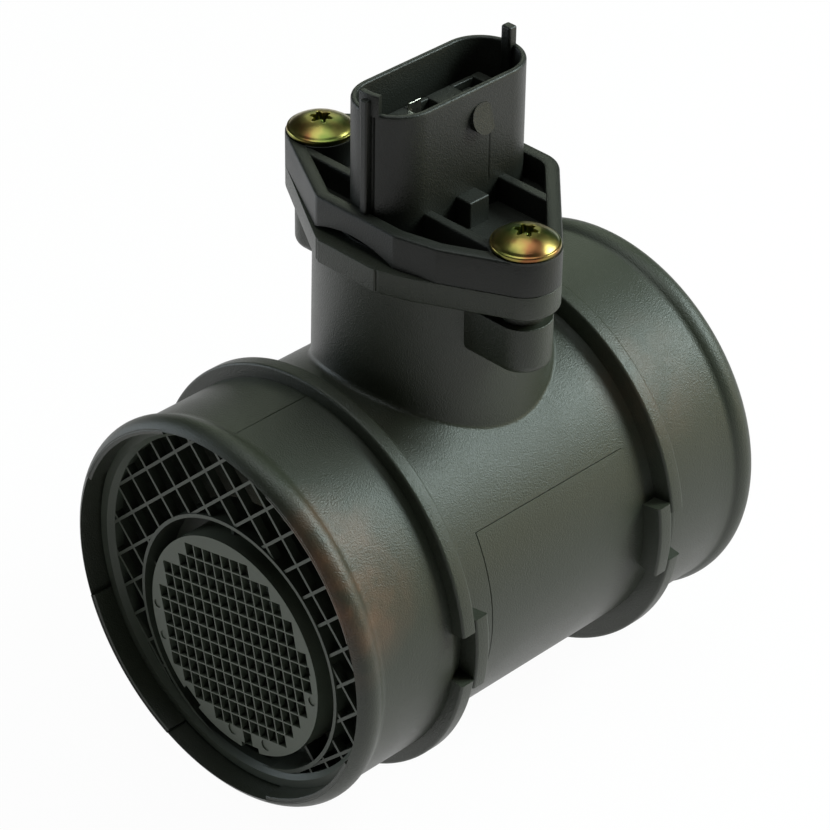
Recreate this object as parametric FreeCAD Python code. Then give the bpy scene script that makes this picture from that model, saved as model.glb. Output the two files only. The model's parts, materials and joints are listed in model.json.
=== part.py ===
import FreeCAD, Part
from FreeCAD import Vector as V
import math
import os

os.makedirs("parts", exist_ok=True)

# Frame: millimetres, +Z up, X along the air flow (inlet at -X), origin on the tube axis at mid length.
# The inlet of the tube, the screws and the long side of the connector are seen from -X and -Y.

# Tube
BEAD_R = 43.0            # largest radius, over the hose bead at each end
SPIGOT_R = BEAD_R - 1.15  # hose seat behind the bead
BODY_R = BEAD_R - 2.85    # barrel between the collars
COLLAR_R = BEAD_R + 1.9   # sealing collars that clip into the air box
BEAD_FORM = 3.7          # radius of the rounded bead section
HALF_L = 58.55           # half of the tube length
COLLAR_W = 3.6
COLLAR_X = HALF_L - 27.8  # middle of each collar
COLLAR_EDGE = 0.4        # bevel on the collar rims
GAP_LOW, GAP_HIGH = -6.5, 5.6   # the break in each collar, on the -Y side
STEP_LAP = 2.5           # the displaced piece is this much longer at each end
WALL = 2.35              # general wall of the moulding
SEAT_R = BEAD_R - 2.2     # bore that takes the grid
LIP_R = SEAT_R - 0.75     # four snap lips that hold the grid
LIP_SPAN = 47.0          # degrees covered by each lip
LIP_FIT = 0.1            # play between the lips and the grid
DUCT_R = BODY_R - WALL    # bore of the barrel
OUT_BORE_R = SPIGOT_R - WALL

# Inlet grid
GRID_IN = 5.35           # the grid ring stands this far inside the inlet
GRID_X = GRID_IN - HALF_L  # front face of the grid ring
GRID_T = 3.4             # depth of the grid ring
GRID_GAP = 0.3           # radial clearance of the grid ring in its bore
GRID_OPEN_R = SEAT_R - 3.5
RIB_PITCH = 6.25
RIB_T = 0.65
RIB_D = 2.0
RIB_TILT = 46.5          # degrees, coarse ribs against the horizontal
LATTICE_W = 8.4          # the coarse lattice is this much wider than the ring inside it
EYE_RING_R = GRID_OPEN_R - LATTICE_W
EYE_RING_T = 0.8
EYE_RING_D = 9.0
EYE_SINK = 1.2           # the ring runs this far past the opening at its lowest point
EYE_Z = EYE_RING_R - GRID_OPEN_R - EYE_SINK
EYE_BACK = 1.0           # the ring front stands back from the grid front
RIB_BACK = 1.3           # and so do the ribs

# Fine grid insert
DISC_GAP = 3.5           # dark annular space between disc and ring
DISC_R = EYE_RING_R - EYE_RING_T - DISC_GAP
DISC_T = 1.5
DISC_FIT = 0.1           # clearance of the disc skirt in the ring floor
SKIRT_T = 0.9
CELL_A = 2.76            # cell pitch across
CELL_B = 3.2             # cell pitch upward
MESH_T = 0.32
MESH_TILT = 11.7
MESH_LIMIT = DISC_R - 1.2
MARK_D = 0.25            # depth of the ejector marks

# Tower, flange and connector
TOWER_X = 2.75
TOWER_R = 24.3
TOWER_DRAFT = 0.9        # growth of the tower radius from flange to foot
TOWER_WALL = 3.5
TOWER_BORE = TOWER_R - TOWER_WALL
FLANGE_Z = 65.2          # underside of the tube flange
FLANGE_T = 5.3
JOINT_Z = FLANGE_Z + FLANGE_T  # joint between tube and sensor
SENSOR_T = 7.5
TOP_Z = JOINT_Z + SENSOR_T  # top of the sensor flange
FLOOR_T = 1.8            # floor under the pockets of the sensor flange
RIM_T = 3.0              # rim wall round them
RIB_W = 2.3              # cross ribs between them
PLUG_FIT = 0.2
PLUG_R = TOWER_BORE - PLUG_FIT
PLUG_WALL = 3.8
SHROUD_H = 22.1
RIM_Z = TOP_Z + SHROUD_H  # rim of the connector shroud
WELL_UP = 2.0            # floor of the socket above the flange top
KEY_UP, POST_UP = 4.0, 4.0  # the key and the post rise this far over the rim
SOCKET_X = 3.6
SOCKET_HALF = 11.8       # half distance of the shroud end centres
SOCKET_R = 8.9
SOCKET_WALL = 1.3
KEY_Y, KEY_OUT = -0.8, 1.0  # outer rib of the key at the left end of the shroud
FRONT = (TOWER_X - 6.55, -TOWER_R - 6.7)   # the screws stand just outside the tower
REAR = (TOWER_X - 3.65, TOWER_R + 4.4)
EAR_R = 7.3
BOSS_FRONT_R, BOSS_REAR_R = 6.0, 5.4
BOSS_FOOT = JOINT_Z - 18.9
BOSS_ROUND = 2.2
SLOT_H = 2.9             # crescent slot between the front boss and the flange
SLOT_CORE_R = 4.4        # material left round the screw inside the slot
SHELF_X = TOWER_X - TOWER_R - 1.0  # outer face of the small shelf at the left of the tube flange
SHELF_LOW, SHELF_HIGH = -8.7, 7.4
PRY_R, PRY_H, PRY_IN = 27.0, 2.6, 4.8  # arch under the sensor flange, over the shelf

# Probe that hangs into the air flow
PROBE_L = 20.0
PROBE_W = 11.0
PROBE_LOW = -14.0
PLATE_T = 1.2
BOARD_T = 0.8
PLATE_FIT = 0.08         # gap round the plate and the covers in their rebates
REBATE = 1.4             # frame left at each side of the rebates
ROOM_HIGH, ROOM_LOW = 46.0, 4.0  # room of the circuit board
CHAN_HIGH, CHAN_LOW = 1.0, PROBE_LOW + 2.4  # measuring channel and its walls
CARRIER_T, CARRIER_W = 0.5, 5.0
LEG_IN = 3.5             # the terminal legs reach this far into the room

# Terminals
PIN_PITCH = 5.0
PIN_W = 1.6
PIN_T = 0.7
LEG_PITCH = 2.6
PIN_TIP = RIM_Z - 7.0

# Screws
HEAD_R = 7.0
HEAD_H = 4.1
SHANK_R = 2.0
SCREW_L = 22.0
SCREW_FIT = 0.05         # the shank stands free in the boss by this much, and by HOLE_FIT in the flange
HOLE_FIT = 0.5
RECESS_D = 2.4


def save(shape, name):
    """Write one node; a compound of one solid is reduced to that solid."""
    if shape.ShapeType != "Solid" and len(shape.Solids) == 1:
        shape = shape.Solids[0]
    shape.exportStep("parts/%s.step" % name)
    print(name, round(shape.Volume, 1), len(shape.Solids), shape.isValid())


def box(x0, x1, y0, y1, z0, z1):
    return Part.makeBox(x1 - x0, y1 - y0, z1 - z0, V(x0, y0, z0))


def turned(points, axis_dir=V(1, 0, 0)):
    """Solid of revolution about X from (x, r) points, or about Z from (r, z) points."""
    if axis_dir.x:
        pts = [V(x, 0, r) for x, r in points]
    else:
        pts = [V(r, 0, z) for r, z in points]
    wire = Part.makePolygon(pts + [pts[0]])
    return Part.Face(wire).revolve(V(0, 0, 0), axis_dir, 360)


def tube_x(r_out, r_in, x0, x1, zc=0.0):
    """Ring about an axis along X, at height zc."""
    ring = Part.makeCylinder(r_out, x1 - x0, V(x0, 0, zc), V(1, 0, 0))
    if r_in > 0:
        ring = ring.cut(Part.makeCylinder(r_in, x1 - x0, V(x0, 0, zc), V(1, 0, 0)))
    return ring


def belt(circles, z, height, inset=0.0):
    """Prism over the outline of a belt stretched round circles (x, y, r), given anticlockwise.
    Like a real belt it passes by a circle that lies inside the others' outline."""
    touched = set()
    for k in range(720):
        c, s = math.cos(math.pi * k / 360), math.sin(math.pi * k / 360)
        touched.add(max(circles, key=lambda p: p[0] * c + p[1] * s + p[2]))
    items = [(V(x, y, z), r) for x, y, r in circles if (x, y, r) in touched]
    count = len(items)
    normals = []
    for i in range(count):
        (a, ra), (b, rb) = items[i], items[(i + 1) % count]
        d = b - a
        k = (ra - rb) / d.Length
        d.normalize()
        side = V(d.y, -d.x, 0)
        normals.append(d * k + side * math.sqrt(1 - k * k))
    edges = []
    for i in range(count):
        c, r = items[i]
        n_in, n_out = normals[i - 1], normals[i]
        start, end = c + n_in * r, c + n_out * r
        if (end - start).Length > 1e-4:
            first = math.atan2(n_in.y, n_in.x)
            half_turn = (math.atan2(n_out.y, n_out.x) - first) % (2 * math.pi) / 2
            mid = V(math.cos(first + half_turn), math.sin(first + half_turn), 0)
            edges.append(Part.Arc(start, c + mid * r, end).toShape())
        c2, r2 = items[(i + 1) % count]
        edges.append(Part.makeLine(end, c2 + n_out * r2))
    face = Part.Face(Part.Wire(Part.__sortEdges__(edges)))
    if inset:
        face = face.makeOffset2D(-inset, 2)
    return face.extrude(V(0, 0, height))


def stadium(r, z, height, half=SOCKET_HALF):
    """Long round-ended prism of the connector, on the connector centre."""
    return belt([(SOCKET_X - half, 0, r), (SOCKET_X + half, 0, r)], z, height)


def sensor_outline():
    """Circles of the sensor flange outline."""
    right, left = TOWER_X + TOWER_R - 9.85, TOWER_X - TOWER_R + 3.4
    return [(FRONT[0], FRONT[1], EAR_R), (right, -9.5, 8.0), (right, 9.4, 8.0), (REAR[0], REAR[1], EAR_R),
            (left, 10.9, 1.6), (left, -11.6, 1.6), (left + 2.6, 4.7 - TOWER_R, 2.0)]


def tube_outline():
    """Circles of the tube flange outline: wider at the right to cover the tower, and out to the shelf."""
    right, left = TOWER_X + TOWER_R - 7.75, TOWER_X - TOWER_R + 3.6
    return [(FRONT[0], FRONT[1], EAR_R), (right, -7.4, 8.0), (right, 7.3, 8.0), (REAR[0], REAR[1], EAR_R),
            (left, 12.0, 1.6), (SHELF_X + 1.3, SHELF_HIGH + 0.5, 0.9),
            (SHELF_X + 1.3, SHELF_LOW - 0.6, 0.9), (left - 0.5, -15.4, 1.5)]


def screw_hole(r, z0, z1):
    """Two holes on the screw axes."""
    return [Part.makeCylinder(r, z1 - z0, V(x, y, z0)) for x, y in (FRONT, REAR)]


# Flow tube: barrel, hose beads, collars, tower and flange in one moulding
bead_c = BEAD_R - BEAD_FORM
tube = turned([(BEAD_FORM - HALF_L, 0), (BEAD_FORM - HALF_L, SPIGOT_R), (-COLLAR_X, SPIGOT_R), (-COLLAR_X, BODY_R),
               (COLLAR_X, BODY_R), (COLLAR_X, SPIGOT_R), (HALF_L - BEAD_FORM, SPIGOT_R), (HALF_L - BEAD_FORM, 0)])
rings = []
for s in (-1, 1):
    end = Part.makeTorus(bead_c, BEAD_FORM, V(s * (HALF_L - BEAD_FORM), 0, 0), V(1, 0, 0))
    collar = Part.makeCylinder(COLLAR_R, COLLAR_W, V(s * COLLAR_X - COLLAR_W / 2, 0, 0), V(1, 0, 0))
    rings += [end, collar.makeChamfer(COLLAR_EDGE, collar.Edges)]
tube = tube.fuse(rings)

tower = Part.makeCone(TOWER_R + TOWER_DRAFT, TOWER_R, FLANGE_Z + 1.0, V(TOWER_X, 0, 0))
tube_flange = belt(tube_outline(), FLANGE_Z, FLANGE_T)
shelf = box(SHELF_X, TOWER_X - 10, SHELF_LOW, SHELF_HIGH, FLANGE_Z, JOINT_Z)
tube = tube.fuse([tower, tube_flange, shelf])

bosses = []
wall_y = TOWER_R - 6.0
for (x, y), r in ((FRONT, BOSS_FRONT_R), (REAR, BOSS_REAR_R)):
    circles = [(x, y, r), (x, math.copysign(wall_y, y), r)]
    boss = belt(circles if y < 0 else circles[::-1], BOSS_FOOT, FLANGE_Z + 1 - BOSS_FOOT)
    foot = [e for e in boss.Edges if e.BoundBox.ZMax < BOSS_FOOT + 0.01]
    bosses.append(boss.makeFillet(BOSS_ROUND, foot))
tube = tube.fuse(bosses)
slot_z = FLANGE_Z - SLOT_H
slot = box(FRONT[0] - 12, FRONT[0] + 12, FRONT[1] - 12, -wall_y - 4.0, slot_z, FLANGE_Z)
slot = slot.cut(Part.makeCylinder(SLOT_CORE_R, SLOT_H + 2, V(FRONT[0], FRONT[1], slot_z - 1)))
slot = slot.cut(Part.makeCylinder(TOWER_R + TOWER_DRAFT, SLOT_H + 2, V(TOWER_X, 0, slot_z - 1)))
tube = tube.cut(slot)

# each collar is broken at the -Y side, and the missing piece stands further in
for s in (-1, 1):
    x0, x1 = s * COLLAR_X - COLLAR_W / 2, s * COLLAR_X + COLLAR_W / 2
    gap = tube_x(COLLAR_R + 1, SPIGOT_R, x0, x1).common(box(x0, x1, -COLLAR_R, -20, GAP_LOW, GAP_HIGH))
    step_x = x0 - s * COLLAR_W
    step = tube_x(COLLAR_R, BODY_R - 1.0, step_x, step_x + COLLAR_W).common(
        box(step_x, step_x + COLLAR_W, -COLLAR_R, -20, GAP_LOW - STEP_LAP, GAP_HIGH + STEP_LAP))
    tube = tube.cut(gap).fuse(step)

bore = [(-HALF_L - 1, 0), (-HALF_L - 1, SEAT_R), (GRID_X + GRID_T, SEAT_R),
        (GRID_X + GRID_T, OUT_BORE_R), (-COLLAR_X - 9.25, OUT_BORE_R), (-COLLAR_X, DUCT_R),
        (COLLAR_X - 4.75, DUCT_R), (COLLAR_X + 2.25, OUT_BORE_R), (HALF_L + 1, OUT_BORE_R), (HALF_L + 1, 0)]
tube = tube.cut(turned(bore))
tube = tube.cut(Part.makeCylinder(TOWER_BORE, JOINT_Z, V(TOWER_X, 0, DUCT_R * 0.66)))
tube = tube.cut(Part.makeCompound(screw_hole(SHANK_R + SCREW_FIT, TOP_Z - SCREW_L - 1.0, JOINT_Z + 1)))

lip_x = BEAD_FORM - HALF_L - math.sqrt(BEAD_FORM ** 2 - (SEAT_R + 0.3 - bead_c) ** 2)
lip = tube_x(SEAT_R + 0.3, LIP_R, lip_x, GRID_X - LIP_FIT)
lips = []
for k in range(4):
    mid = 45.8 + 90 * k
    a0, a1 = math.radians(mid - LIP_SPAN / 2), math.radians(mid + LIP_SPAN / 2)
    far, x0 = 2 * BEAD_R, lip_x - 1
    wedge = Part.Face(Part.makePolygon([
        V(x0, 0, 0), V(x0, far * math.cos(a0), far * math.sin(a0)),
        V(x0, far * math.cos(a1), far * math.sin(a1)), V(x0, 0, 0)])).extrude(V(GRID_IN + 2, 0, 0))
    lips.append(lip.common(wedge))
tube = tube.fuse(lips).removeSplitter()
save(tube, "flow_tube")

# Inlet grid: outer ring, coarse lattice and the ring round the fine grid
ring_r = SEAT_R - GRID_GAP
ring = turned([(GRID_X, GRID_OPEN_R + 1.0), (GRID_X, ring_r - 0.3), (GRID_X + 0.3, ring_r),
               (GRID_X + GRID_T, ring_r), (GRID_X + GRID_T, GRID_OPEN_R),
               (GRID_X + RIB_BACK, GRID_OPEN_R)])
eye_x = GRID_X + EYE_BACK
eye = tube_x(EYE_RING_R, EYE_RING_R - EYE_RING_T, eye_x, eye_x + EYE_RING_D, EYE_Z)
eye_floor = tube_x(EYE_RING_R, DISC_R + DISC_FIT, eye_x + EYE_RING_D - 1.2, eye_x + EYE_RING_D, EYE_Z)
rib_x = GRID_X + RIB_BACK
ribs = []
reach = int(GRID_OPEN_R / RIB_PITCH) + 1
for k in range(-reach, reach + 1):
    off = (k + 0.12) * RIB_PITCH
    bar = box(rib_x, rib_x + RIB_D, -BEAD_R, BEAD_R, off - RIB_T / 2, off + RIB_T / 2)
    off = (k + 0.30) * RIB_PITCH
    post = box(rib_x, rib_x + RIB_D, off - RIB_T / 2, off + RIB_T / 2, -BEAD_R, BEAD_R)
    ribs += [bar, post]
lattice = ribs[0].multiFuse(ribs[1:])
lattice.rotate(V(0, 0, 0), V(1, 0, 0), RIB_TILT)
field = tube_x(GRID_OPEN_R + 0.5, 0, rib_x, rib_x + RIB_D)
field = field.cut(tube_x(EYE_RING_R - 0.3, 0, rib_x - 1, rib_x + 5, EYE_Z))
lattice = lattice.common(field)
spokes = []
for a in (10, 82, 154, 226, 298):
    spoke = box(eye_x + 2.5, eye_x + EYE_RING_D - 0.5, DISC_R + DISC_FIT, EYE_RING_R - 0.4, -0.4, 0.4)
    spoke.rotate(V(0, 0, 0), V(1, 0, 0), a)
    spoke.translate(V(0, 0, EYE_Z))
    spokes.append(spoke)
eye = eye.cut(tube_x(BEAD_R + 5, ring_r - 0.5, eye_x - 1, eye_x + EYE_RING_D + 1))
keep = tube_x(GRID_OPEN_R + 0.2, 0, eye_x - 1, eye_x + EYE_RING_D + 1)
grid = ring.fuse([eye.common(keep), eye_floor.common(keep), lattice] + [s.common(keep) for s in spokes])
grid = grid.removeSplitter()
save(grid, "inlet_grid")

# Centre grid: disc with the fine mesh, skirt behind it
disc = tube_x(DISC_R, 0, GRID_X, GRID_X + DISC_T, EYE_Z)
skirt = tube_x(DISC_R, DISC_R - SKIRT_T, GRID_X + DISC_T - 0.2, eye_x + EYE_RING_D, EYE_Z)
cells = []
limit = tube_x(MESH_LIMIT, 0, GRID_X - 1, GRID_X + DISC_T + 1, EYE_Z)
n = int(DISC_R / CELL_A) + 2
for i in range(-n, n + 1):
    for j in range(-n, n + 1):
        a, b = (i + 0.22) * CELL_A, (j + 0.18) * CELL_B
        if math.hypot(a, b) > MESH_LIMIT - 1.5:
            continue
        cell = box(GRID_X - 0.5, GRID_X + DISC_T + 0.5, a - (CELL_A - MESH_T) / 2,
                   a + (CELL_A - MESH_T) / 2, b - (CELL_B - MESH_T) / 2, b + (CELL_B - MESH_T) / 2)
        corner = max(math.hypot(a + p * CELL_A / 2, b + q * CELL_B / 2) for p in (-1, 1) for q in (-1, 1))
        cell.rotate(V(0, 0, 0), V(1, 0, 0), -MESH_TILT)
        cell.translate(V(0, 0, EYE_Z))
        cells.append(cell.common(limit) if corner > MESH_LIMIT else cell)
disc = disc.cut(Part.makeCompound(cells))
notches = []
for a in (-57, -101):
    notch = box(GRID_X - 1, GRID_X + DISC_T + 3, DISC_R - 1.3, DISC_R + 1, -2.6, 2.6)
    notch.rotate(V(0, 0, 0), V(1, 0, 0), a)
    notch.translate(V(0, 0, EYE_Z))
    notches.append(notch)
marks = []
for a, back, size in ((-88, 2.9, 1.25), (-114.5, 2.4, 1.25), (-3.5, 1.5, 1.0), (-22, 1.5, 1.0),
                      (165, 1.9, 1.0), (183, 1.7, 1.0)):
    t, r = math.radians(a), DISC_R - back
    marks.append(tube_x(size, 0, GRID_X - 1, GRID_X + MARK_D, 0).translated(
        V(0, r * math.cos(t), EYE_Z + r * math.sin(t))))
centre = disc.fuse(skirt).cut(Part.makeCompound(notches)).cut(Part.makeCompound(marks))
save(centre.removeSplitter(), "centre_grid")

# Sensor body: flange, connector shroud, plug with seal groove and probe frame
body = belt(sensor_outline(), JOINT_Z, SENSOR_T)
floor_z = JOINT_Z + FLOOR_T
pocket = belt(sensor_outline(), floor_z, 10, inset=RIM_T)
for x, y in (FRONT, REAR):
    pocket = pocket.cut(Part.makeCylinder(EAR_R + 0.3, 12, V(x, y, floor_z - 1)))
for x0 in (TOWER_X - 12.0, TOWER_X + 8.9):
    pocket = pocket.cut(box(x0, x0 + RIB_W, -BEAD_R, BEAD_R, floor_z - 1, floor_z + 12))
pocket = pocket.cut(stadium(SOCKET_R, floor_z - 1, 12))
block = box(SOCKET_X - 3.9, SOCKET_X + 1.6, -SOCKET_R - 3.9, -SOCKET_R + 1, floor_z - 1, TOP_Z)
pocket = pocket.cut(block)
body = body.cut(pocket)
pry = Part.makeCylinder(PRY_R, 10, V(SHELF_X - 1, 0.2, JOINT_Z + PRY_H - PRY_R), V(1, 0, 0))
body = body.cut(pry.common(box(SHELF_X - 1, SHELF_X + PRY_IN, -12, 12, JOINT_Z - 1, TOP_Z)))

shroud = stadium(SOCKET_R, floor_z - 1, RIM_Z - floor_z + 1)
left_x, right_x = SOCKET_X - SOCKET_HALF - SOCKET_R, SOCKET_X + SOCKET_HALF + SOCKET_R
tab = stadium(SOCKET_R, RIM_Z - 1, KEY_UP + 1).cut(stadium(SOCKET_R - SOCKET_WALL - 0.3, RIM_Z - 2, KEY_UP + 4))
tab = tab.common(box(left_x - 1, left_x + 4, -3.4, 1.4, RIM_Z - 2, RIM_Z + KEY_UP))
key = box(left_x - KEY_OUT, left_x + 0.8, KEY_Y - 0.9, KEY_Y + 0.9, floor_z, RIM_Z + KEY_UP - 1.2)
key = key.makeFillet(0.4, [e for e in key.Edges if e.BoundBox.XMax < left_x and e.BoundBox.ZLength > 5])
post = box(right_x - 2.4, right_x - 0.2, -1.5, 1.3, RIM_Z - 6, RIM_Z + POST_UP)
post = post.makeFillet(0.6, [e for e in post.Edges if e.BoundBox.ZMin > RIM_Z + 1])
well = stadium(SOCKET_R - SOCKET_WALL, TOP_Z + WELL_UP, SHROUD_H + 10)
catch_x, catch_z = SOCKET_X + 2.7, RIM_Z - 6.7
catch = Part.makeCylinder(3.1, 2.4, V(catch_x, -SOCKET_R + 0.2, catch_z), V(0, -1, 0))
catch = catch.cut(box(catch_x + 2.2, catch_x + 9, -20, 0, catch_z - 9, catch_z + 9))
ramp = Part.Face(Part.makePolygon([
    V(catch_x - 9, -SOCKET_R - 2.3, catch_z - 3.2), V(catch_x - 9, -SOCKET_R - 0.1, catch_z + 3.2),
    V(catch_x - 9, -SOCKET_R - 9, catch_z + 3.2), V(catch_x - 9, -SOCKET_R - 9, catch_z - 3.2),
    V(catch_x - 9, -SOCKET_R - 2.3, catch_z - 3.2)])).extrude(V(18, 0, 0))
catch = catch.cut(ramp)
body = body.fuse([shroud, block])
body = body.cut(well).fuse([tab, key, post, catch])
slit = box(catch_x + 2.3, catch_x + 2.7, -SOCKET_R - 1, -SOCKET_R + 0.45, TOP_Z - 3, catch_z - 0.5)
groove_l = box(left_x - 2, left_x + 0.9, KEY_Y - 1.9, KEY_Y - 0.9, TOP_Z - 1.5, RIM_Z + KEY_UP + 1)
body = body.cut(Part.makeCompound([slit, groove_l]))

plug_low = FLANGE_Z - 13
plug = turned([(PLUG_R - PLUG_WALL, plug_low), (PLUG_R - PLUG_WALL, JOINT_Z + 0.5), (PLUG_R, JOINT_Z + 0.5),
               (PLUG_R, plug_low + 0.8), (PLUG_R - 0.8, plug_low)], V(0, 0, 1))
GROOVE_R, GROOVE_Z, GROOVE_H = PLUG_R - 1.9, FLANGE_Z - 4.5, 2.6
plug = plug.cut(turned([(GROOVE_R, GROOVE_Z - GROOVE_H / 2), (GROOVE_R, GROOVE_Z + GROOVE_H / 2),
                        (PLUG_R + 1, GROOVE_Z + GROOVE_H / 2), (PLUG_R + 1, GROOVE_Z - GROOVE_H / 2)],
                       V(0, 0, 1)))
plug.translate(V(TOWER_X, 0, 0))
px0, px1 = TOWER_X - PROBE_L / 2, TOWER_X + PROBE_L / 2
py0, py1 = -PROBE_W / 2, PROBE_W / 2
probe = box(px0, px1, py0, py1, PROBE_LOW, JOINT_Z + 0.5)
inset = REBATE
room = box(px0 + 2.5, px1 - 2.5, py0 - 1, py1 + 1, ROOM_LOW, ROOM_HIGH)
channel = box(px0 - 1, px1 + 1, py0 + PLATE_T, py1 - PLATE_T, CHAN_LOW + 1.2, CHAN_HIGH - 1.2)
chan_room = box(px0 + 2.5, px1 - 2.5, py0 - 1, py1 + 1, CHAN_LOW, CHAN_HIGH)
rebate_back = box(px0 + inset, px1 - inset, py0 - 1, py0 + PLATE_T, PROBE_LOW + 1.0, ROOM_HIGH + 1.6)
rebate_room = box(px0 + inset, px1 - inset, py1 - PLATE_T, py1 + 1, ROOM_LOW - 1.3, ROOM_HIGH + 1.6)
rebate_chan = box(px0 + inset, px1 - inset, py1 - PLATE_T, py1 + 1, PROBE_LOW + 1.0, CHAN_HIGH + 1.0)
board_y = py0 + PLATE_T
carrier_y = board_y + BOARD_T
tongue_slot = box(TOWER_X - CARRIER_W / 2 - 0.1, TOWER_X + CARRIER_W / 2 + 0.1, carrier_y - 0.1,
                  carrier_y + CARRIER_T + 0.1, CHAN_HIGH - 1, ROOM_LOW + 1)
probe = probe.cut(Part.makeCompound([channel])).cut(room).cut(chan_room)
probe = probe.cut(Part.makeCompound([rebate_back, rebate_room, rebate_chan])).cut(tongue_slot)
body = body.fuse([plug, probe])
body = body.cut(Part.makeCompound(screw_hole(SHANK_R + HOLE_FIT, JOINT_Z - 1, TOP_Z + 1)))

# Terminals: a blade in the socket, a run to the narrow leg, the leg down to the board
terminals = []
for k in range(5):
    top_x = SOCKET_X + (k - 2) * PIN_PITCH
    leg_x = SOCKET_X + (k - 2) * LEG_PITCH
    run = JOINT_Z + (3.0 if k in (0, 4) else 5.6)
    leg_low = ROOM_HIGH - LEG_IN
    y0, y1 = -PIN_T / 2, PIN_T / 2
    up = box(top_x - PIN_W / 2, top_x + PIN_W / 2, y0, y1, run, PIN_TIP)
    up = up.makeChamfer(0.3, [e for e in up.Edges if e.BoundBox.ZMin > PIN_TIP - 0.01])
    left, right = min(top_x, leg_x) - PIN_W / 2, max(top_x, leg_x) + PIN_W / 2
    side = box(left, right, y0, y1, run, run + 1.5)
    leg = box(leg_x - PIN_W / 2, leg_x + PIN_W / 2, y0, y1, leg_low, run + 1.5)
    terminals.append(up.fuse([side, leg]).removeSplitter())
body = body.cut(Part.makeCompound(terminals)).removeSplitter()
save(body, "sensor_body")
for k, pin in enumerate(terminals):
    save(pin, "terminal_%d" % (k + 1))

# Seal ring, squeezed between groove floor and tower bore
h = GROOVE_H / 2 - 0.15
r0, r1 = GROOVE_R, TOWER_BORE
seal = turned([(r0, GROOVE_Z - h * 0.55), (r0 + 0.35, GROOVE_Z - h), (r1 - 0.35, GROOVE_Z - h),
               (r1, GROOVE_Z - h * 0.55), (r1, GROOVE_Z + h * 0.55), (r1 - 0.35, GROOVE_Z + h),
               (r0 + 0.35, GROOVE_Z + h), (r0, GROOVE_Z + h * 0.55)], V(0, 0, 1))
seal.translate(V(TOWER_X, 0, 0))
save(seal, "seal_ring")

# Probe contents
fit = PLATE_FIT
plate = box(px0 + inset + fit, px1 - inset - fit, py0, py0 + PLATE_T, PROBE_LOW + 1.0 + fit,
            ROOM_HIGH + 1.6 - fit)
save(plate, "base_plate")
board = box(px0 + 3.2, px1 - 3.2, board_y, board_y + BOARD_T, ROOM_LOW + 2.5, ROOM_HIGH - 2.0)
save(board, "hybrid_board")
chip = box(TOWER_X - 3, TOWER_X + 3, carrier_y, carrier_y + 1.1, ROOM_LOW + 20, ROOM_LOW + 26)
save(chip, "signal_chip")
carrier = box(TOWER_X - CARRIER_W / 2, TOWER_X + CARRIER_W / 2, carrier_y, carrier_y + CARRIER_T,
              CHAN_LOW + 2.5, ROOM_LOW + 8)
save(carrier, "chip_carrier")
sense = box(TOWER_X - 1.2, TOWER_X + 1.2, carrier_y + CARRIER_T, carrier_y + CARRIER_T + 0.4,
            CHAN_LOW + 3.2, CHAN_LOW + 8.2)
save(sense, "sensing_chip")
cover = box(px0 + inset + fit, px1 - inset - fit, py1 - PLATE_T, py1, ROOM_LOW - 1.3 + fit,
            ROOM_HIGH + 1.6 - fit)
save(cover, "electronics_cover")
lid = box(px0 + inset + fit, px1 - inset - fit, py1 - PLATE_T, py1, PROBE_LOW + 1.0 + fit,
          CHAN_HIGH + 1.0 - fit)
save(lid, "channel_cover")

# Air temperature bead on two leads at the upstream edge of the probe
BEAD_Z, BEAD_OUT, LEAD_R, PEARL_R = 14.0, 5.0, 0.25, 1.1
pearl = Part.makeSphere(PEARL_R, V(px0 - BEAD_OUT, 0, BEAD_Z))
leads = []
for s in (-1, 1):
    path = Part.makePolygon([V(px0, 0, BEAD_Z + s * 4.0), V(px0 - BEAD_OUT, 0, BEAD_Z + s * 4.0),
                             V(px0 - BEAD_OUT, 0, BEAD_Z + s * (PEARL_R - 0.35))])
    prof = Part.Wire(Part.makeCircle(LEAD_R, V(px0, 0, BEAD_Z + s * 4.0), V(1, 0, 0)))
    leads.append(Part.Wire(path.Edges).makePipeShell([prof], True, False, 1))
pearl = pearl.cut(Part.makeCompound(leads))
save(pearl, "temperature_bead")
save(leads[0], "bead_lead_lower")
save(leads[1], "bead_lead_upper")

# Screws with a wide domed head and a six-lobed security recess
def screw(x, y):
    """Head on the flange top, shank into the boss."""
    n, dome = 10, []
    for i in range(n + 1):
        t = i / n
        r = (HEAD_R - 0.5) * (1 - t)
        dome.append((r, TOP_Z + 1.1 + (HEAD_H - 1.1) * (1 - (r / (HEAD_R - 0.5)) ** 2)))
    profile = [(0.0, TOP_Z), (HEAD_R - 0.2, TOP_Z), (HEAD_R, TOP_Z + 0.3), (HEAD_R, TOP_Z + 0.8),
               (HEAD_R - 0.2, TOP_Z + 1.0)] + dome
    head = turned(profile, V(0, 0, 1))
    shank = Part.makeCylinder(SHANK_R, SCREW_L, V(0, 0, TOP_Z - SCREW_L))
    tip = Part.makeCone(0.6, SHANK_R, 1.5, V(0, 0, TOP_Z - SCREW_L))
    shank = shank.cut(box(-5, 5, -5, 5, TOP_Z - SCREW_L - 1, TOP_Z - SCREW_L + 1.5)).fuse(tip)
    recess = Part.makeCylinder(1.95, 3, V(0, 0, TOP_Z + HEAD_H - RECESS_D))
    lobes = [Part.makeCylinder(0.62, 3, V(1.98 * math.cos(math.radians(60 * k)),
                                          1.98 * math.sin(math.radians(60 * k)), TOP_Z + HEAD_H - RECESS_D))
             for k in range(6)]
    recess = recess.fuse(lobes)
    pin = Part.makeCylinder(0.75, 2.0, V(0, 0, TOP_Z + HEAD_H - RECESS_D))
    made = head.fuse(shank).cut(recess).fuse(pin).removeSplitter()
    made.translate(V(x, y, 0))
    return made


save(screw(*FRONT), "screw_front")
save(screw(*REAR), "screw_rear")
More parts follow.
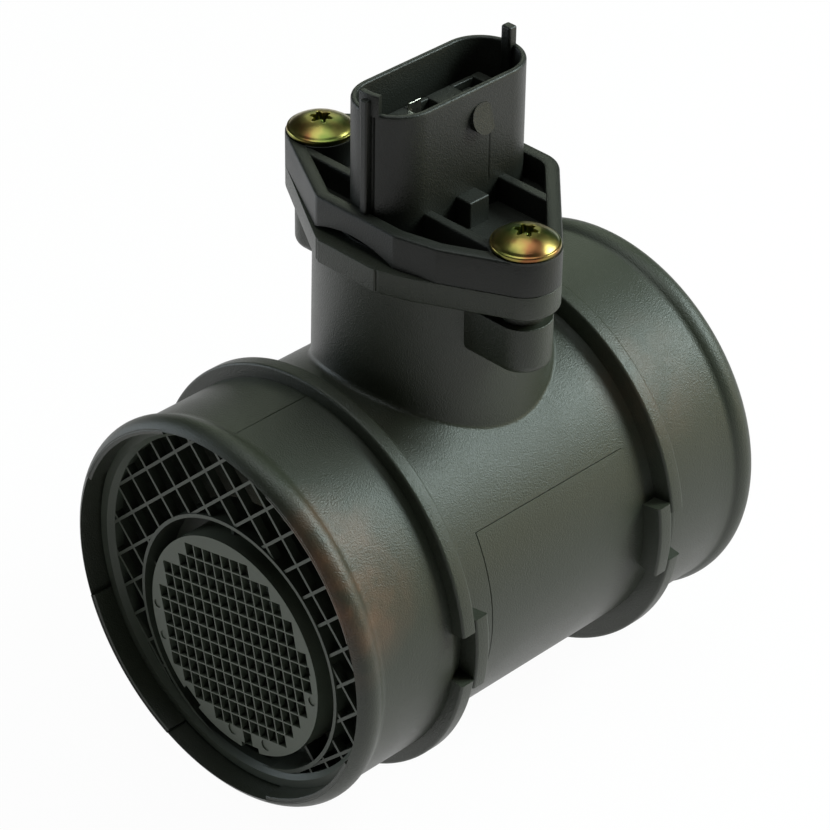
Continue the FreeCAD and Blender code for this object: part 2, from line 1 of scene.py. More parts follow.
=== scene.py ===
# %% [markdown]
# A mass airflow sensor sits between an engine's air filter and its throttle. It is a short wide tube of
# dark moulded plastic. A square grid and a fine mesh straighten the air at the inlet, and a round tower
# on top carries a bolted sensor body with an upright wire connector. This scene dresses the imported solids
# for a photo-like picture: smooth moulded skins worked out with numpy, and a grain for every finish.

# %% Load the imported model
import json
import math

import bmesh
import bpy
import numpy as np
from mathutils import Matrix, Vector


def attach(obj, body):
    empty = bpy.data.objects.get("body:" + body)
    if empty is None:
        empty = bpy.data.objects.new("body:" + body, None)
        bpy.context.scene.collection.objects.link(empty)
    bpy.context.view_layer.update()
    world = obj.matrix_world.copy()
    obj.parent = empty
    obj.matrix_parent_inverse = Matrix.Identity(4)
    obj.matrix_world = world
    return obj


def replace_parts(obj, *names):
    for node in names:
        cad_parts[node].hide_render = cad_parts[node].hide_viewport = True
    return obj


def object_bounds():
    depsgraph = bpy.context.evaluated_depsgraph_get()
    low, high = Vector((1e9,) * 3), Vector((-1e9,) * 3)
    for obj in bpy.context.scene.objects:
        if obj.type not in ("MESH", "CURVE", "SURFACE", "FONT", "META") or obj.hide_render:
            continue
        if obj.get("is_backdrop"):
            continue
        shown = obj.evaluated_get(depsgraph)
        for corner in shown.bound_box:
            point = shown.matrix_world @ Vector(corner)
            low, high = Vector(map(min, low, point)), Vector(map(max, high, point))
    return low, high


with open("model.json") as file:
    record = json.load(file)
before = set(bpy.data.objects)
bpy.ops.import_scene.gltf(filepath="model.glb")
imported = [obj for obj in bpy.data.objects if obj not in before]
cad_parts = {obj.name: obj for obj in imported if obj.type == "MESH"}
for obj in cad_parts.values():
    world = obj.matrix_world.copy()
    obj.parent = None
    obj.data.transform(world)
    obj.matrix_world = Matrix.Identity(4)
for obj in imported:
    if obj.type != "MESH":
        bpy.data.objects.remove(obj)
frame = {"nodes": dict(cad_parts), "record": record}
cad_low, cad_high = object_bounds()
nodes = frame["nodes"]
print("nodes", len(nodes), "box mm", [round(1000 * (b - a), 2) for a, b in zip(cad_low, cad_high)])

# %% [markdown]
# All sizes are in millimetres, as a moulder would read them from the drawing, and become metres only when
# a mesh is made. The tube lies along X with its inlet at -X, and the tower stands along Z.

# %% Sizes of the moulding
BEAD_R, BEAD_FORM = 43.0, 3.7                           # bead and the radius of its section
BEAD_START, OUTLET_START, OUTLET_END = 156.0, 176.4, 157.0  # turns in that section, at inlet and outlet
SPIGOT_R = BEAD_R - 1.15
BODY_R = BEAD_R - 2.85
COLLAR_R = BEAD_R + 1.88
HALF_L = 58.55
COLLAR_X, COLLAR_W = 30.75, 3.6
GAP_LOW, GAP_HIGH, STEP_LOW, STEP_HIGH = -6.5, 5.6, -9.1, 8.0  # a collar's break and its set-back piece
WALL = 2.35
SEAT_R = BEAD_R - 2.2
LIP_R = SEAT_R - 0.75
LIP_START, LIP_SPAN = 45.8, 47.0                        # middle of the first snap lip and each one's length
DUCT_R = BODY_R - WALL
OUT_BORE_R = SPIGOT_R - WALL
GRID_X, GRID_T = -53.2, 3.4
SEAM, SLIDE, SLIDE_FOOT = 90.2, 150.2, 196.0            # mould lines, in degrees round the tube
SLIDE_X, SLIDE_END = -19.68, 22.8                       # and along it
LINE_DEPTH, LINE_HALF, LINE_TURN = 0.22, 0.13, 0.18     # their depth, half width and half turn
SNAP = 0.36                                             # reach of the points that slide onto the bore

TOWER_X, TOWER_R, TOWER_BORE = 2.75, 24.3, 20.8
FOOT_R, FOOT_FILLET = TOWER_R + 0.378, 1.3              # the wall leans in a little from its foot
FLANGE_Z = 65.2
JOINT_Z = FLANGE_Z + 5.3
TOP_Z = JOINT_Z + 7.5
FRONT, REAR = (TOWER_X - 6.55, -31.0), (TOWER_X - 3.65, 28.7)  # places of the screws
EAR_R, RIM_T, FLOOR_Z = 7.3, 3.0, JOINT_Z + 1.8         # ears, rim wall and floor of the sensor's tray
SHELF_X, SHELF_LOW, SHELF_HIGH = TOWER_X - 25.3, -8.7, 7.4
ARCH_R, ARCH_H, ARCH_Y, ARCH_IN, ARCH_HALF = 27.0, 2.6, 0.2, 4.8, 12.0  # arch in the tray over the shelf
BOSS_FRONT_R, BOSS_REAR_R, BOSS_ROUND = 6.0, 5.4, 2.2
BOSS_FOOT, SLOT_H, SLOT_CORE_R = JOINT_Z - 18.9, 2.9, 4.4
RIB_T, RIB_FRONT_X, RIB_BACK_X = 2.3, TOWER_X - 12.0, TOWER_X + 8.9  # ribs across the tray
RIB_FRONT_Y, RIB_BACK_Y = 26.5, 21.5                    # how far they reach to both sides

SOCKET_X, SOCKET_HALF, SOCKET_R, SOCKET_WALL = 3.6, 11.8, 8.9, 1.3
RIM_Z = TOP_Z + 22.1
WELL_Z, ISLAND_Z = TOP_Z + 2.0, RIM_Z - 6.1             # floor of the socket and top of its island
KEY_Y, KEY_H, TAB_H = -0.8, 2.8, 4.0                    # key bar, and how far key and tab pass the rim
CATCH_X, CATCH_Z, CATCH_R = SOCKET_X + 2.7, RIM_Z - 6.7, 3.1
CATCH_DEEP, CATCH_THIN = 1.9, 0.15
SLIT_X, SLIT_HALF, SLIT_D = CATCH_X + 2.5, 0.22, 0.15   # fine slit below the catch
NOTCH_Y, NOTCH_HALF, NOTCH_D = KEY_Y - 1.4, 0.5, 0.95   # groove beside the key bar

PLUG_R, PLUG_WALL, PLUG_LOW = TOWER_BORE - 0.2, 3.8, FLANGE_Z - 13
GROOVE_Z, GROOVE_D, GROOVE_HALF = FLANGE_Z - 4.5, 1.9, 1.3
PROBE_HALF, PROBE_Y, PROBE_LOW = 10.0, 5.5, -14.0
CHANNEL_LOW, CHANNEL_HIGH, ROOT_LOW = PROBE_LOW + 3.6, -0.2, 47.6  # openings in the end walls; its root
REBATE, COVER_T, POST_IN = 1.4, 1.2, 2.5                # rebates for the covers, and depth of the end walls

HEAD_R, RIM_H, PIN_R, RECESS_D = 7.0, 1.15, 0.56, 2.3   # screw heads
LOBE_R, LOBE_SWING = 1.95, 0.45


# %% [markdown]
# Every skin here is a grid of points over two parameters. A small class collects such grids, turns them
# into quads and writes one mesh. Its normals are worked out again, so every closed skin faces outwards.

# %% Grids of points become meshes
class Skin:
    """Collects grids of points, each a function of u and v, for one piece."""

    def __init__(self):
        self.points, self.faces, self.count = [], [], 0

    def add(self, grid, loop_u=False, loop_v=False, cap_u=False, drop=None):
        """Adds a (u, v, xyz) grid: loops close it, caps fill its end rows, and drop leaves faces out."""
        nu, nv = grid.shape[:2]
        u = np.arange(nu if loop_u else nu - 1)
        v = np.arange(nv if loop_v else nv - 1)
        u, v = np.meshgrid(u, v, indexing="ij")
        u1, v1 = (u + 1) % nu, (v + 1) % nv
        quads = np.stack([u * nv + v, u1 * nv + v, u1 * nv + v1, u * nv + v1], -1).reshape(-1, 4)
        if drop is not None:
            quads = quads[~drop.ravel()[quads].all(1)]
        self.faces += (quads + self.count).tolist()
        if cap_u:
            self.faces.append((np.arange(nv)[::-1] + self.count).tolist())
            self.faces.append((np.arange(nv) + (nu - 1) * nv + self.count).tolist())
        self.points.append(grid.reshape(-1, 3))
        self.count += nu * nv
        return self

    def make(self, name, slot, sharp):
        """Writes the mesh in metres, shades it smooth up to the sharp angle and lets it ride the part."""
        mesh = bpy.data.meshes.new(name)
        mesh.from_pydata(np.concatenate(self.points) / 1000, [], self.faces)
        bm = bmesh.new()
        bm.from_mesh(mesh)
        loose = [v for v in bm.verts if not v.link_faces]
        bmesh.ops.delete(bm, geom=loose, context="VERTS")
        bmesh.ops.recalc_face_normals(bm, faces=bm.faces)
        bm.to_mesh(mesh)
        bm.free()
        piece = bpy.data.objects.new(name, mesh)
        bpy.context.scene.collection.objects.link(piece)
        mesh.shade_smooth()
        mesh.set_sharp_from_angle(angle=math.radians(sharp))
        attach(piece, "root")
        mesh.materials.append(bpy.data.materials[slot])
        print(name, "faces", len(mesh.polygons))
        return piece


def round_corners(points, radii, steps=6):
    """A closed polygon with arcs in its corners: each arc touches both sides, radius / tan(half angle)
    away from the corner."""
    pts = np.array(points, float)
    out = []
    for i, r in enumerate(radii):
        p, a, b = pts[i], pts[i - 1], pts[(i + 1) % len(pts)]
        if not r:
            out.append(p)
            continue
        to_a, to_b = (a - p) / np.linalg.norm(a - p), (b - p) / np.linalg.norm(b - p)
        half = math.acos(np.clip(to_a @ to_b, -1, 1)) / 2
        middle = (to_a + to_b) / np.linalg.norm(to_a + to_b)
        centre = p + middle * r / math.sin(half)
        start, end = p + to_a * r / math.tan(half), p + to_b * r / math.tan(half)
        t0 = math.atan2(*(start - centre)[::-1])
        turn = (math.atan2(*(end - centre)[::-1]) - t0 + math.pi) % (2 * math.pi) - math.pi
        t = t0 + turn * np.linspace(0, 1, steps + 1)
        out += list(centre + r * np.column_stack([np.cos(t), np.sin(t)]))
    return np.array(out)


def turned_x(profile, angles):
    """Carries an (x, r) profile about the tube axis: the point at angle t is (x, r cos t, r sin t)."""
    x, r = profile[:, 0][:, None], profile[:, 1][:, None]
    t = np.radians(angles)[None, :]
    return np.stack([x + 0 * t, r * np.cos(t), r * np.sin(t)], -1)


def turned_z(profile, centre, steps=96):
    """Carries an (r, z) profile about an upright axis through centre."""
    t = np.linspace(0, 2 * math.pi, steps, endpoint=False)[None, :]
    r, z = profile[:, 0][:, None], profile[:, 1][:, None]
    return np.stack([centre[0] + r * np.cos(t), centre[1] + r * np.sin(t), z + 0 * t], -1)


TURN = np.sort(np.concatenate([np.linspace(0, 360, 400, endpoint=False)] + [
    [line - LINE_TURN, line, line + LINE_TURN] for line in (SEAM, SLIDE)]))

# %% [markdown]
# Flanges and the connector have outlines like a belt round pulleys. The belt helper gives such an outline
# at any inset: each arc keeps its centre while its radius shrinks, and once it would vanish, a tiny arc
# moves inwards along the corner's middle line. All insets have equal point counts, so walls follow easily.


# %% Belt outlines
def belt(circles, inset=0.0, arc_steps=10, line_steps=1, least=0.25):
    """Closed outline of a belt stretched round (x, y, r) circles, given anticlockwise, set in by inset.
    No arc gets smaller than the least radius."""
    c = np.array([k[:2] for k in circles], float)
    r = np.array([k[2] for k in circles], float)
    n = len(c)
    turns = []
    for i in range(n):
        d = c[(i + 1) % n] - c[i]
        length = np.linalg.norm(d)
        turns.append(math.atan2(d[1], d[0]) - math.acos((r[i] - r[(i + 1) % n]) / length))
    out = []
    for i in range(n):
        t0, t1 = turns[i - 1], turns[i]
        t1 = t0 + (t1 - t0) % (2 * math.pi)
        left, centre = r[i] - inset, c[i]
        if left < least:
            middle = (t0 + t1) / 2
            centre = c[i] + np.array([math.cos(middle), math.sin(middle)]) * (
                (left - least) / math.cos((t1 - t0) / 2))
            left = least
        t = np.linspace(t0, t1, arc_steps + 1)
        out.append(centre + left * np.column_stack([np.cos(t), np.sin(t)]))
    full = []
    for i in range(n):
        full.append(out[i])
        start, end = out[i][-1], out[(i + 1) % n][0]
        steps = np.linspace(0, 1, line_steps + 1)[1:-1, None]
        full.append(start + (end - start) * steps)
    return np.concatenate(full)


def along(circles, profile, **steps):
    """Carries an (inset, z) profile round a belt outline: one row of points for each profile point."""
    rows = []
    for inset, z in profile:
        flat = belt(circles, inset, **steps)
        rows.append(np.column_stack([flat, np.full(len(flat), z)]))
    return np.array(rows)


def slab_profile(z0, z1, low, high, steps=4):
    """Side of a slab as (inset, z) from bottom to top; low and high are the radii of its two edges."""
    t = np.linspace(0, math.pi / 2, steps + 1)
    bottom = np.column_stack([low - low * np.sin(t), z0 + low - low * np.cos(t)])
    top = np.column_stack([high - high * np.cos(t), z1 - high + high * np.sin(t)])
    return np.concatenate([bottom, top])


def sensor_outline():
    """Circles of the sensor flange outline."""
    right = TOWER_X + 14.45
    return [(FRONT[0], FRONT[1], EAR_R), (right, -9.5, 8.0), (right, 9.4, 8.0), (REAR[0], REAR[1], EAR_R),
            (TOWER_X - 19.9, 9.9, 2.6), (TOWER_X - 19.9, -10.6, 2.6), (TOWER_X - 18.3, -19.6, 2.0)]


def tube_outline():
    """Circles of the tube flange outline: wider at the right to cover the tower, and out to the shelf."""
    right = TOWER_X + 16.55
    return [(FRONT[0], FRONT[1], EAR_R), (right, -7.4, 8.0), (right, 7.3, 8.0), (REAR[0], REAR[1], EAR_R),
            (TOWER_X - 20.7, 12.0, 1.6), (SHELF_X + 1.3, SHELF_HIGH + 0.5, 0.9),
            (SHELF_X + 1.3, SHELF_LOW - 0.6, 0.9), (TOWER_X - 21.2, -15.4, 1.5)]


def box_plan(x0, x1, y0, y1, r):
    """Circles for the plan of a block with rounded upright edges."""
    return [(x1 - r, y0 + r, r), (x1 - r, y1 - r, r), (x0 + r, y1 - r, r), (x0 + r, y0 + r, r)]


# %% [markdown]
# The flow tube is a ring-shaped skin: one closed line of (x, radius) carried round the axis. It runs out
# along the bead, the spigot and the barrel and back through the bore. Where the tower's bore meets the
# duct, the faces inside that circle are left out and the points next to it slide onto it. Two lines that
# the mould left are sunk a little: its seam on the inlet spigot, and the edge of a slide on the barrel.

# %% The tube
bead_end = math.degrees(math.asin((SPIGOT_R - BEAD_R + BEAD_FORM) / BEAD_FORM)) + 2
ring = np.radians(np.linspace(BEAD_START, bead_end, 18))
bead = np.column_stack([-HALF_L + BEAD_FORM + BEAD_FORM * np.cos(ring),
                        BEAD_R - BEAD_FORM + BEAD_FORM * np.sin(ring)])
near_tower = np.linspace(-18.8, 24.4, 73)
outer_x = np.sort(np.concatenate([np.linspace(-51.2, -33.0, 4), np.linspace(-32.5, -21, 4), near_tower,
                                  np.linspace(26, 32.5, 3), np.linspace(33, 51.2, 4),
                                  [SLIDE_X - LINE_HALF, SLIDE_X, SLIDE_X + LINE_HALF]]))
outer_r = np.where(np.abs(outer_x) > COLLAR_X, SPIGOT_R, BODY_R)
lip_turn = np.radians(np.linspace(OUTLET_START, OUTLET_END, 6))
outlet_lip = np.column_stack([HALF_L - BEAD_FORM - BEAD_FORM * np.cos(lip_turn),
                              BEAD_R - BEAD_FORM + BEAD_FORM * np.sin(lip_turn)])
outside = np.concatenate([bead, np.column_stack([outer_x, outer_r]), bead[::-1] * [-1, 1], outlet_lip[::-1]])
bore_x = np.concatenate([[26], near_tower[::-1], [-20, -31]])
inside = np.concatenate([
    [[HALF_L - 0.1, OUT_BORE_R], [HALF_L - 1.5, OUT_BORE_R]],
    np.column_stack([np.linspace(56, 34, 3), np.full(3, OUT_BORE_R)]), [[33, OUT_BORE_R]],
    np.column_stack([bore_x, np.full(len(bore_x), DUCT_R)]),
    [[-40, SPIGOT_R - WALL], [GRID_X + GRID_T, SPIGOT_R - WALL], [GRID_X + GRID_T, SEAT_R],
     [GRID_X, SEAT_R], [-HALF_L + 1.2, SEAT_R], [-HALF_L + 0.5, SEAT_R + 0.15]]])
profile = np.concatenate([outside, inside])
grid = turned_x(profile, TURN)
x, t = np.broadcast_arrays(profile[:, 0][:, None], TURN[None, :])
skin_rows = (np.arange(len(profile)) < len(outside))[:, None]
along_seam = (t == SEAM) & (x < -COLLAR_X) & (x > -52.5)
along_slide = (t == SLIDE) & (x >= SLIDE_X) & (x < SLIDE_END)
down_slide = (x == SLIDE_X) & (t >= SLIDE) & (t < SLIDE_FOOT)
lines = skin_rows & (along_seam | along_slide | down_slide)
sink = np.where(lines, LINE_DEPTH, 0.0) / np.hypot(grid[..., 1], grid[..., 2])
grid[..., 1:] *= 1 - sink[..., None]
dx, dy = grid[..., 0] - TOWER_X, grid[..., 1]
reach = np.hypot(dx, dy)
near = (np.abs(reach - TOWER_BORE) < SNAP) & (grid[..., 2] > 0)
scale = np.where(near, TOWER_BORE / reach, 1.0)
grid[..., 0], grid[..., 1] = TOWER_X + dx * scale, dy * scale
hole = (reach <= TOWER_BORE + SNAP) & (grid[..., 2] > 0)
tube = Skin().add(grid, loop_u=True, loop_v=True, drop=hole)

# %% [markdown]
# Two collars clip the tube into its air box. Each is broken at the front, where the mould's slide sat, and
# the missing length stands further in. Arcs of a rounded section with closed ends give both.

# %% Collars and snap lips
gap_low, gap_high, step_low, step_high = (
    math.degrees(math.asin(z / COLLAR_R)) for z in (GAP_LOW, GAP_HIGH, STEP_LOW, STEP_HIGH))
collars = Skin()
for side in (-1, 1):
    x0, x1 = side * COLLAR_X - COLLAR_W / 2, side * COLLAR_X + COLLAR_W / 2
    section = round_corners([(x0, BODY_R - 1), (x0, COLLAR_R), (x1, COLLAR_R), (x1, BODY_R - 1)],
                            [0, 0.6, 0.6, 0])
    arc = np.linspace(180 - gap_low, 540 - gap_high, 420)
    collars.add(turned_x(section, arc).transpose(1, 0, 2), loop_v=True, cap_u=True)
    section[:, 0] -= side * COLLAR_W
    arc = np.linspace(180 - step_high, 180 - step_low, 30)
    collars.add(turned_x(section, arc).transpose(1, 0, 2), loop_v=True, cap_u=True)
lip = round_corners([(-HALF_L + 0.4, SEAT_R + 0.4), (-HALF_L + 0.6, LIP_R), (GRID_X - 0.1, LIP_R),
                     (GRID_X - 0.1, SEAT_R + 0.4)], [0, 0.25, 0.1, 0], 3)
for k in range(4):
    middle = LIP_START + 90 * k
    arc = np.linspace(middle - LIP_SPAN / 2, middle + LIP_SPAN / 2, 60)
    collars.add(turned_x(lip, arc).transpose(1, 0, 2), loop_v=True, cap_u=True)

# %% [markdown]
# The tower grows out of the barrel with a small fillet. For every direction round the tower, the wall line
# and the barrel's slope meet at an angle, and the fillet arc that touches both is worked out there.

# %% Tower with its fillet
t = np.linspace(0, 2 * math.pi, 360, endpoint=False)
foot_y = FOOT_R * np.sin(t)
foot_z = np.sqrt(BODY_R ** 2 - foot_y ** 2)
slope = -FOOT_R * np.sin(t) ** 2 / foot_z
line = np.stack([np.ones_like(t), slope], -1) / np.sqrt(1 + slope ** 2)[:, None]
half = np.arccos(line[:, 1]) / 2
middle = line + np.array([0.0, 1.0])
middle /= np.linalg.norm(middle, axis=1)[:, None]
centre = np.stack([FOOT_R + 0 * t, foot_z], -1) + middle * (FOOT_FILLET / np.sin(half))[:, None]
touch = np.stack([FOOT_R + 0 * t, foot_z + FOOT_FILLET / np.tan(half)], -1) - centre
start = np.arctan2(touch[:, 1], touch[:, 0])
sweep = math.pi - 2 * half
rows = []
for s in np.linspace(0, 1, 9):
    a = start + sweep * s
    rows.append(centre + FOOT_FILLET * np.stack([np.cos(a), np.sin(a)], -1))
foot_rows = np.array(rows[::-1])
top_z = np.linspace(0, 1, 24)[1:]
wall_rows = [np.stack([foot_rows[-1, :, 0] + (TOWER_R - foot_rows[-1, :, 0]) * s,
                       foot_rows[-1, :, 1] + (FLANGE_Z + 1 - foot_rows[-1, :, 1]) * s], -1) for s in top_z]
root_row = foot_rows[0] - [[0.2, 0.8]]
duct_z = np.sqrt(DUCT_R ** 2 - (TOWER_BORE * np.sin(t)) ** 2)
inner = [np.stack([np.full_like(t, TOWER_BORE), z + 0 * t], -1) for z in (FLANGE_Z + 1, 46.0, duct_z + 0.02)]
loop = np.concatenate([root_row[None], foot_rows, np.array(wall_rows), np.array(inner)])
tower = np.stack([TOWER_X + loop[..., 0] * np.cos(t), loop[..., 0] * np.sin(t), loop[..., 1]], -1)
column = Skin().add(tower, loop_u=True, loop_v=True)

# %% Flange of the tube, shelf and screw bosses
column.add(along(tube_outline(), slab_profile(FLANGE_Z, JOINT_Z, 0.5, 0.15), arc_steps=24), loop_v=True,
           cap_u=True)
shelf = box_plan(SHELF_X, TOWER_X - 21.7, SHELF_LOW, SHELF_HIGH, 0.3)
column.add(along(shelf, slab_profile(FLANGE_Z + 0.04, JOINT_Z - 0.04, 0.3, 0.2)), loop_v=True, cap_u=True)
for (x, y), r in ((FRONT, BOSS_FRONT_R), (REAR, BOSS_REAR_R)):
    wall_y = math.copysign(TOWER_R - 6.0, y)
    plan = [(x, y, r), (x, wall_y, r)] if y < 0 else [(x, wall_y, r), (x, y, r)]
    cap_z = FLANGE_Z - SLOT_H if y < 0 else FLANGE_Z + 0.5
    column.add(along(plan, slab_profile(BOSS_FOOT, cap_z, BOSS_ROUND, 0.25, 8), arc_steps=40), loop_v=True,
               cap_u=True)
    core = np.array([[SLOT_CORE_R, cap_z - 1], [SLOT_CORE_R, FLANGE_Z + 0.5]])
    column.add(turned_z(core, (x, y)), loop_v=True, cap_u=True)

# %% [markdown]
# The sensor body stands on the tube's flange. Its own flange is a tray: a floor, a rim wall that follows
# the outline, cross ribs and two screw ears. The connector is a long round-ended shroud, open at the top.

# %% Sensor flange
body = Skin()
tray = [(RIM_T + 0.3, JOINT_Z), (0.12, JOINT_Z), (0.0, JOINT_Z + 0.12), (0.0, TOP_Z - 0.5),
        (0.12, TOP_Z - 0.18), (0.4, TOP_Z), (RIM_T - 0.4, TOP_Z), (RIM_T - 0.12, TOP_Z - 0.15),
        (RIM_T, TOP_Z - 0.5), (RIM_T, FLOOR_Z)]
grid = along(sensor_outline(), tray, arc_steps=24, line_steps=40, least=1.4)
x, y, z = grid[..., 0], grid[..., 1], grid[..., 2]
arch_z = JOINT_Z + ARCH_H - ARCH_R + np.sqrt(np.maximum(ARCH_R ** 2 - (y - ARCH_Y) ** 2, 0))
low = (z < JOINT_Z + 0.2) & (x < SHELF_X + ARCH_IN) & (np.abs(y) < ARCH_HALF)
grid[..., 2] = np.where(low, np.maximum(z, arch_z), z)
body.add(grid, loop_v=True, cap_u=True)
for x, y in (FRONT, REAR):
    t = np.linspace(0, math.pi / 2, 5)
    ear = np.column_stack([EAR_R + 0.3 - 0.4 + 0.4 * np.cos(t), TOP_Z - 0.4 + 0.4 * np.sin(t)])
    ear[:, 0] = np.minimum(ear[:, 0], EAR_R - 0.02)
    ear = np.concatenate([[[0.01, FLOOR_Z - 1], [EAR_R - 0.02, FLOOR_Z - 1]], ear, [[0.01, TOP_Z]]])
    body.add(turned_z(ear, (x, y)), loop_v=True, cap_u=True)
for x0, reach_y in ((RIB_FRONT_X, RIB_FRONT_Y), (RIB_BACK_X, RIB_BACK_Y)):
    left, right = x0 + 0.5, x0 + RIB_T - 0.5
    for s in (-1, 1):
        y0, y1 = sorted((s * (SOCKET_R - 1), s * reach_y))
        plan = [(left, y0, 0.5), (right, y0, 0.5), (right, y1, 0.5), (left, y1, 0.5)]
        body.add(along(plan, slab_profile(FLOOR_Z - 0.5, TOP_Z - 0.3, 0.0, 0.4)), loop_v=True, cap_u=True)
left, right, y0, y1 = SOCKET_X - 3.5, SOCKET_X + 1.2, -SOCKET_R - 3.5, -SOCKET_R + 1
block = [(left, y0, 0.4), (right, y0, 0.4), (right, y1, 0.4), (left, y1, 0.4)]
body.add(along(block, slab_profile(FLOOR_Z - 0.5, TOP_Z, 0.0, 0.4)), loop_v=True, cap_u=True)

# %% Connector shroud
ends = [(SOCKET_X - SOCKET_HALF, 0, SOCKET_R), (SOCKET_X + SOCKET_HALF, 0, SOCKET_R)]
OUTER_ROWS = 60
wall = [(0.0, z) for z in np.linspace(FLOOR_Z - 0.5, RIM_Z - 0.5, OUTER_ROWS)]
wall += [(0.1, RIM_Z - 0.2), (0.35, RIM_Z), (SOCKET_WALL - 0.35, RIM_Z), (SOCKET_WALL - 0.1, RIM_Z - 0.15),
         (SOCKET_WALL, RIM_Z - 0.4), (SOCKET_WALL, WELL_Z)]
shell = along(ends[::-1], wall, arc_steps=60, line_steps=120)
x, y, z = shell[..., 0], shell[..., 1], shell[..., 2]
slit = (np.abs(x - SLIT_X) < SLIT_HALF) & (y < -SOCKET_R + 0.05) & (z > TOP_Z) & (z < CATCH_Z - 0.5)
shell[..., 1] += np.where(slit, SLIT_D, 0.0)
left_x, right_x = SOCKET_X - SOCKET_HALF - SOCKET_R, SOCKET_X + SOCKET_HALF + SOCKET_R
outer_rows = np.arange(len(shell))[:, None] < OUTER_ROWS
notch = outer_rows & (x < left_x + 2) & (np.abs(y - NOTCH_Y) < NOTCH_HALF) & (z > TOP_Z - 1.5)
shell[..., 0] += np.where(notch, left_x + NOTCH_D - x, 0.0)
body.add(shell, loop_v=True)
body.add(along(ends[::-1], [(SOCKET_WALL - 0.2, WELL_Z - 0.5), (SOCKET_WALL - 0.2, WELL_Z)], arc_steps=40),
         loop_v=True, cap_u=True)

# the island that carries the contacts, deep in the socket, with open notches towards the front
ISLAND = ((-7.2, -2.7, -1.6), (3.4, 10.3, -1.6), (16.1, 18.6, -1.6), (-2.8, 3.5, 2.6), (10.2, 16.2, 2.6))
for x0, x1, y0 in ISLAND:
    plan = [(x1 - 0.4, y0 + 0.4, 0.4), (x1 - 0.4, 3.3, 0.4), (x0 + 0.4, 3.3, 0.4), (x0 + 0.4, y0 + 0.4, 0.4)]
    body.add(along(plan, slab_profile(WELL_Z - 1, ISLAND_Z, 0.0, 0.3)), loop_v=True, cap_u=True)
body.add(along([(14.0, 0.2, 0.3), (14.0, 1.7, 0.3), (12.3, 1.7, 0.3), (12.3, 0.2, 0.3)],
               slab_profile(WELL_Z - 1, ISLAND_Z - 1.2, 0.0, 0.2)), loop_v=True, cap_u=True)

# one bright contact shows in the left notch
blade = Skin().add(along([(0.9, 2.3, 0.1), (0.9, 2.5, 0.1), (-2.5, 2.5, 0.1), (-2.5, 2.3, 0.1)],
                         slab_profile(WELL_Z - 1, ISLAND_Z + 1.2, 0.0, 0.1)), loop_v=True, cap_u=True)

# raised tab and key bar at the left end, and the peg at the right end
half_turn = np.radians(np.linspace(180 - 9, 180 + 22.5, 24))
tab_z = RIM_Z + TAB_H
tab_line = ((SOCKET_R, RIM_Z - 0.6), (SOCKET_R, tab_z - 0.4), (SOCKET_R - 0.15, tab_z - 0.1),
            (SOCKET_R - 0.45, tab_z), (SOCKET_R - 1.15, tab_z), (SOCKET_R - 1.45, tab_z - 0.15),
            (SOCKET_R - 1.6, tab_z - 0.5), (SOCKET_R - 1.6, RIM_Z - 0.6))
tab = np.array([np.column_stack([SOCKET_X - SOCKET_HALF + r * np.cos(half_turn), r * np.sin(half_turn),
                                 np.full(24, z)]) for r, z in tab_line])
body.add(tab.transpose(1, 0, 2), loop_v=True, cap_u=True)
key = [(left_x + 0.5, KEY_Y - 0.5, 0.4), (left_x + 0.5, KEY_Y + 0.5, 0.4), (left_x - 0.6, KEY_Y + 0.5, 0.4),
       (left_x - 0.6, KEY_Y - 0.5, 0.4)]
body.add(along(key, slab_profile(FLOOR_Z, RIM_Z + KEY_H, 0.0, 0.3)), loop_v=True, cap_u=True)
peg_x = right_x - 1.3
peg = [(peg_x - 0.55, -0.85, 0.55), (peg_x + 0.55, -0.85, 0.55), (peg_x + 0.55, 0.65, 0.55),
       (peg_x - 0.55, 0.65, 0.55)]
body.add(along(peg, slab_profile(RIM_Z - 6, tab_z, 0.0, 0.5)), loop_v=True, cap_u=True)

# locking catch: a half-moon wedge that is deepest at its lower edge
s = np.linspace(0, 1, 13)[:, None]
a = np.linspace(0, 2 * math.pi, 64, endpoint=False)[None, :]
cx = np.minimum(CATCH_R * np.cos(a) * s, 2.2)
cz = CATCH_R * np.sin(a) * s
depth = np.clip((2.9 - cz) / 6.0, 0, 1) * CATCH_DEEP + CATCH_THIN
face = np.stack([CATCH_X + cx, -SOCKET_R + 0.05 - depth, CATCH_Z + cz], -1)
back = np.stack([CATCH_X + cx[-1:], np.full_like(cx[-1:], -SOCKET_R + 0.4), CATCH_Z + cz[-1:]], -1)
body.add(np.concatenate([face, back]), loop_v=True, cap_u=True)

# %% [markdown]
# Below the flange a round plug with a groove for its seal fills the tower's bore. A flat frame hangs from
# it into the air. Its end walls are T-shaped in plan, so that the plate and the covers lie flush in them.

# %% Plug and probe frame
inner_r, groove_r = PLUG_R - PLUG_WALL, PLUG_R - GROOVE_D
groove_low, groove_high = GROOVE_Z - GROOVE_HALF, GROOVE_Z + GROOVE_HALF
plug_line = round_corners([(inner_r, PLUG_LOW), (PLUG_R - 0.8, PLUG_LOW), (PLUG_R, PLUG_LOW + 0.8),
                           (PLUG_R, groove_low), (groove_r, groove_low), (groove_r, groove_high),
                           (PLUG_R, groove_high), (PLUG_R, JOINT_Z + 0.5), (inner_r, JOINT_Z + 0.5)],
                          [0.3, 0.2, 0.2, 0.2, 0.1, 0.1, 0.2, 0, 0], 3)
probe = Skin().add(turned_z(plug_line, (TOWER_X, 0), 160), loop_u=True, loop_v=True)


def post(points, z0, z1):
    """An upright bar with the given plan."""
    flat = np.array(points, float)
    probe.add(np.array([np.column_stack([flat, np.full(len(flat), z)]) for z in (z0, z1)]), loop_v=True,
              cap_u=True)


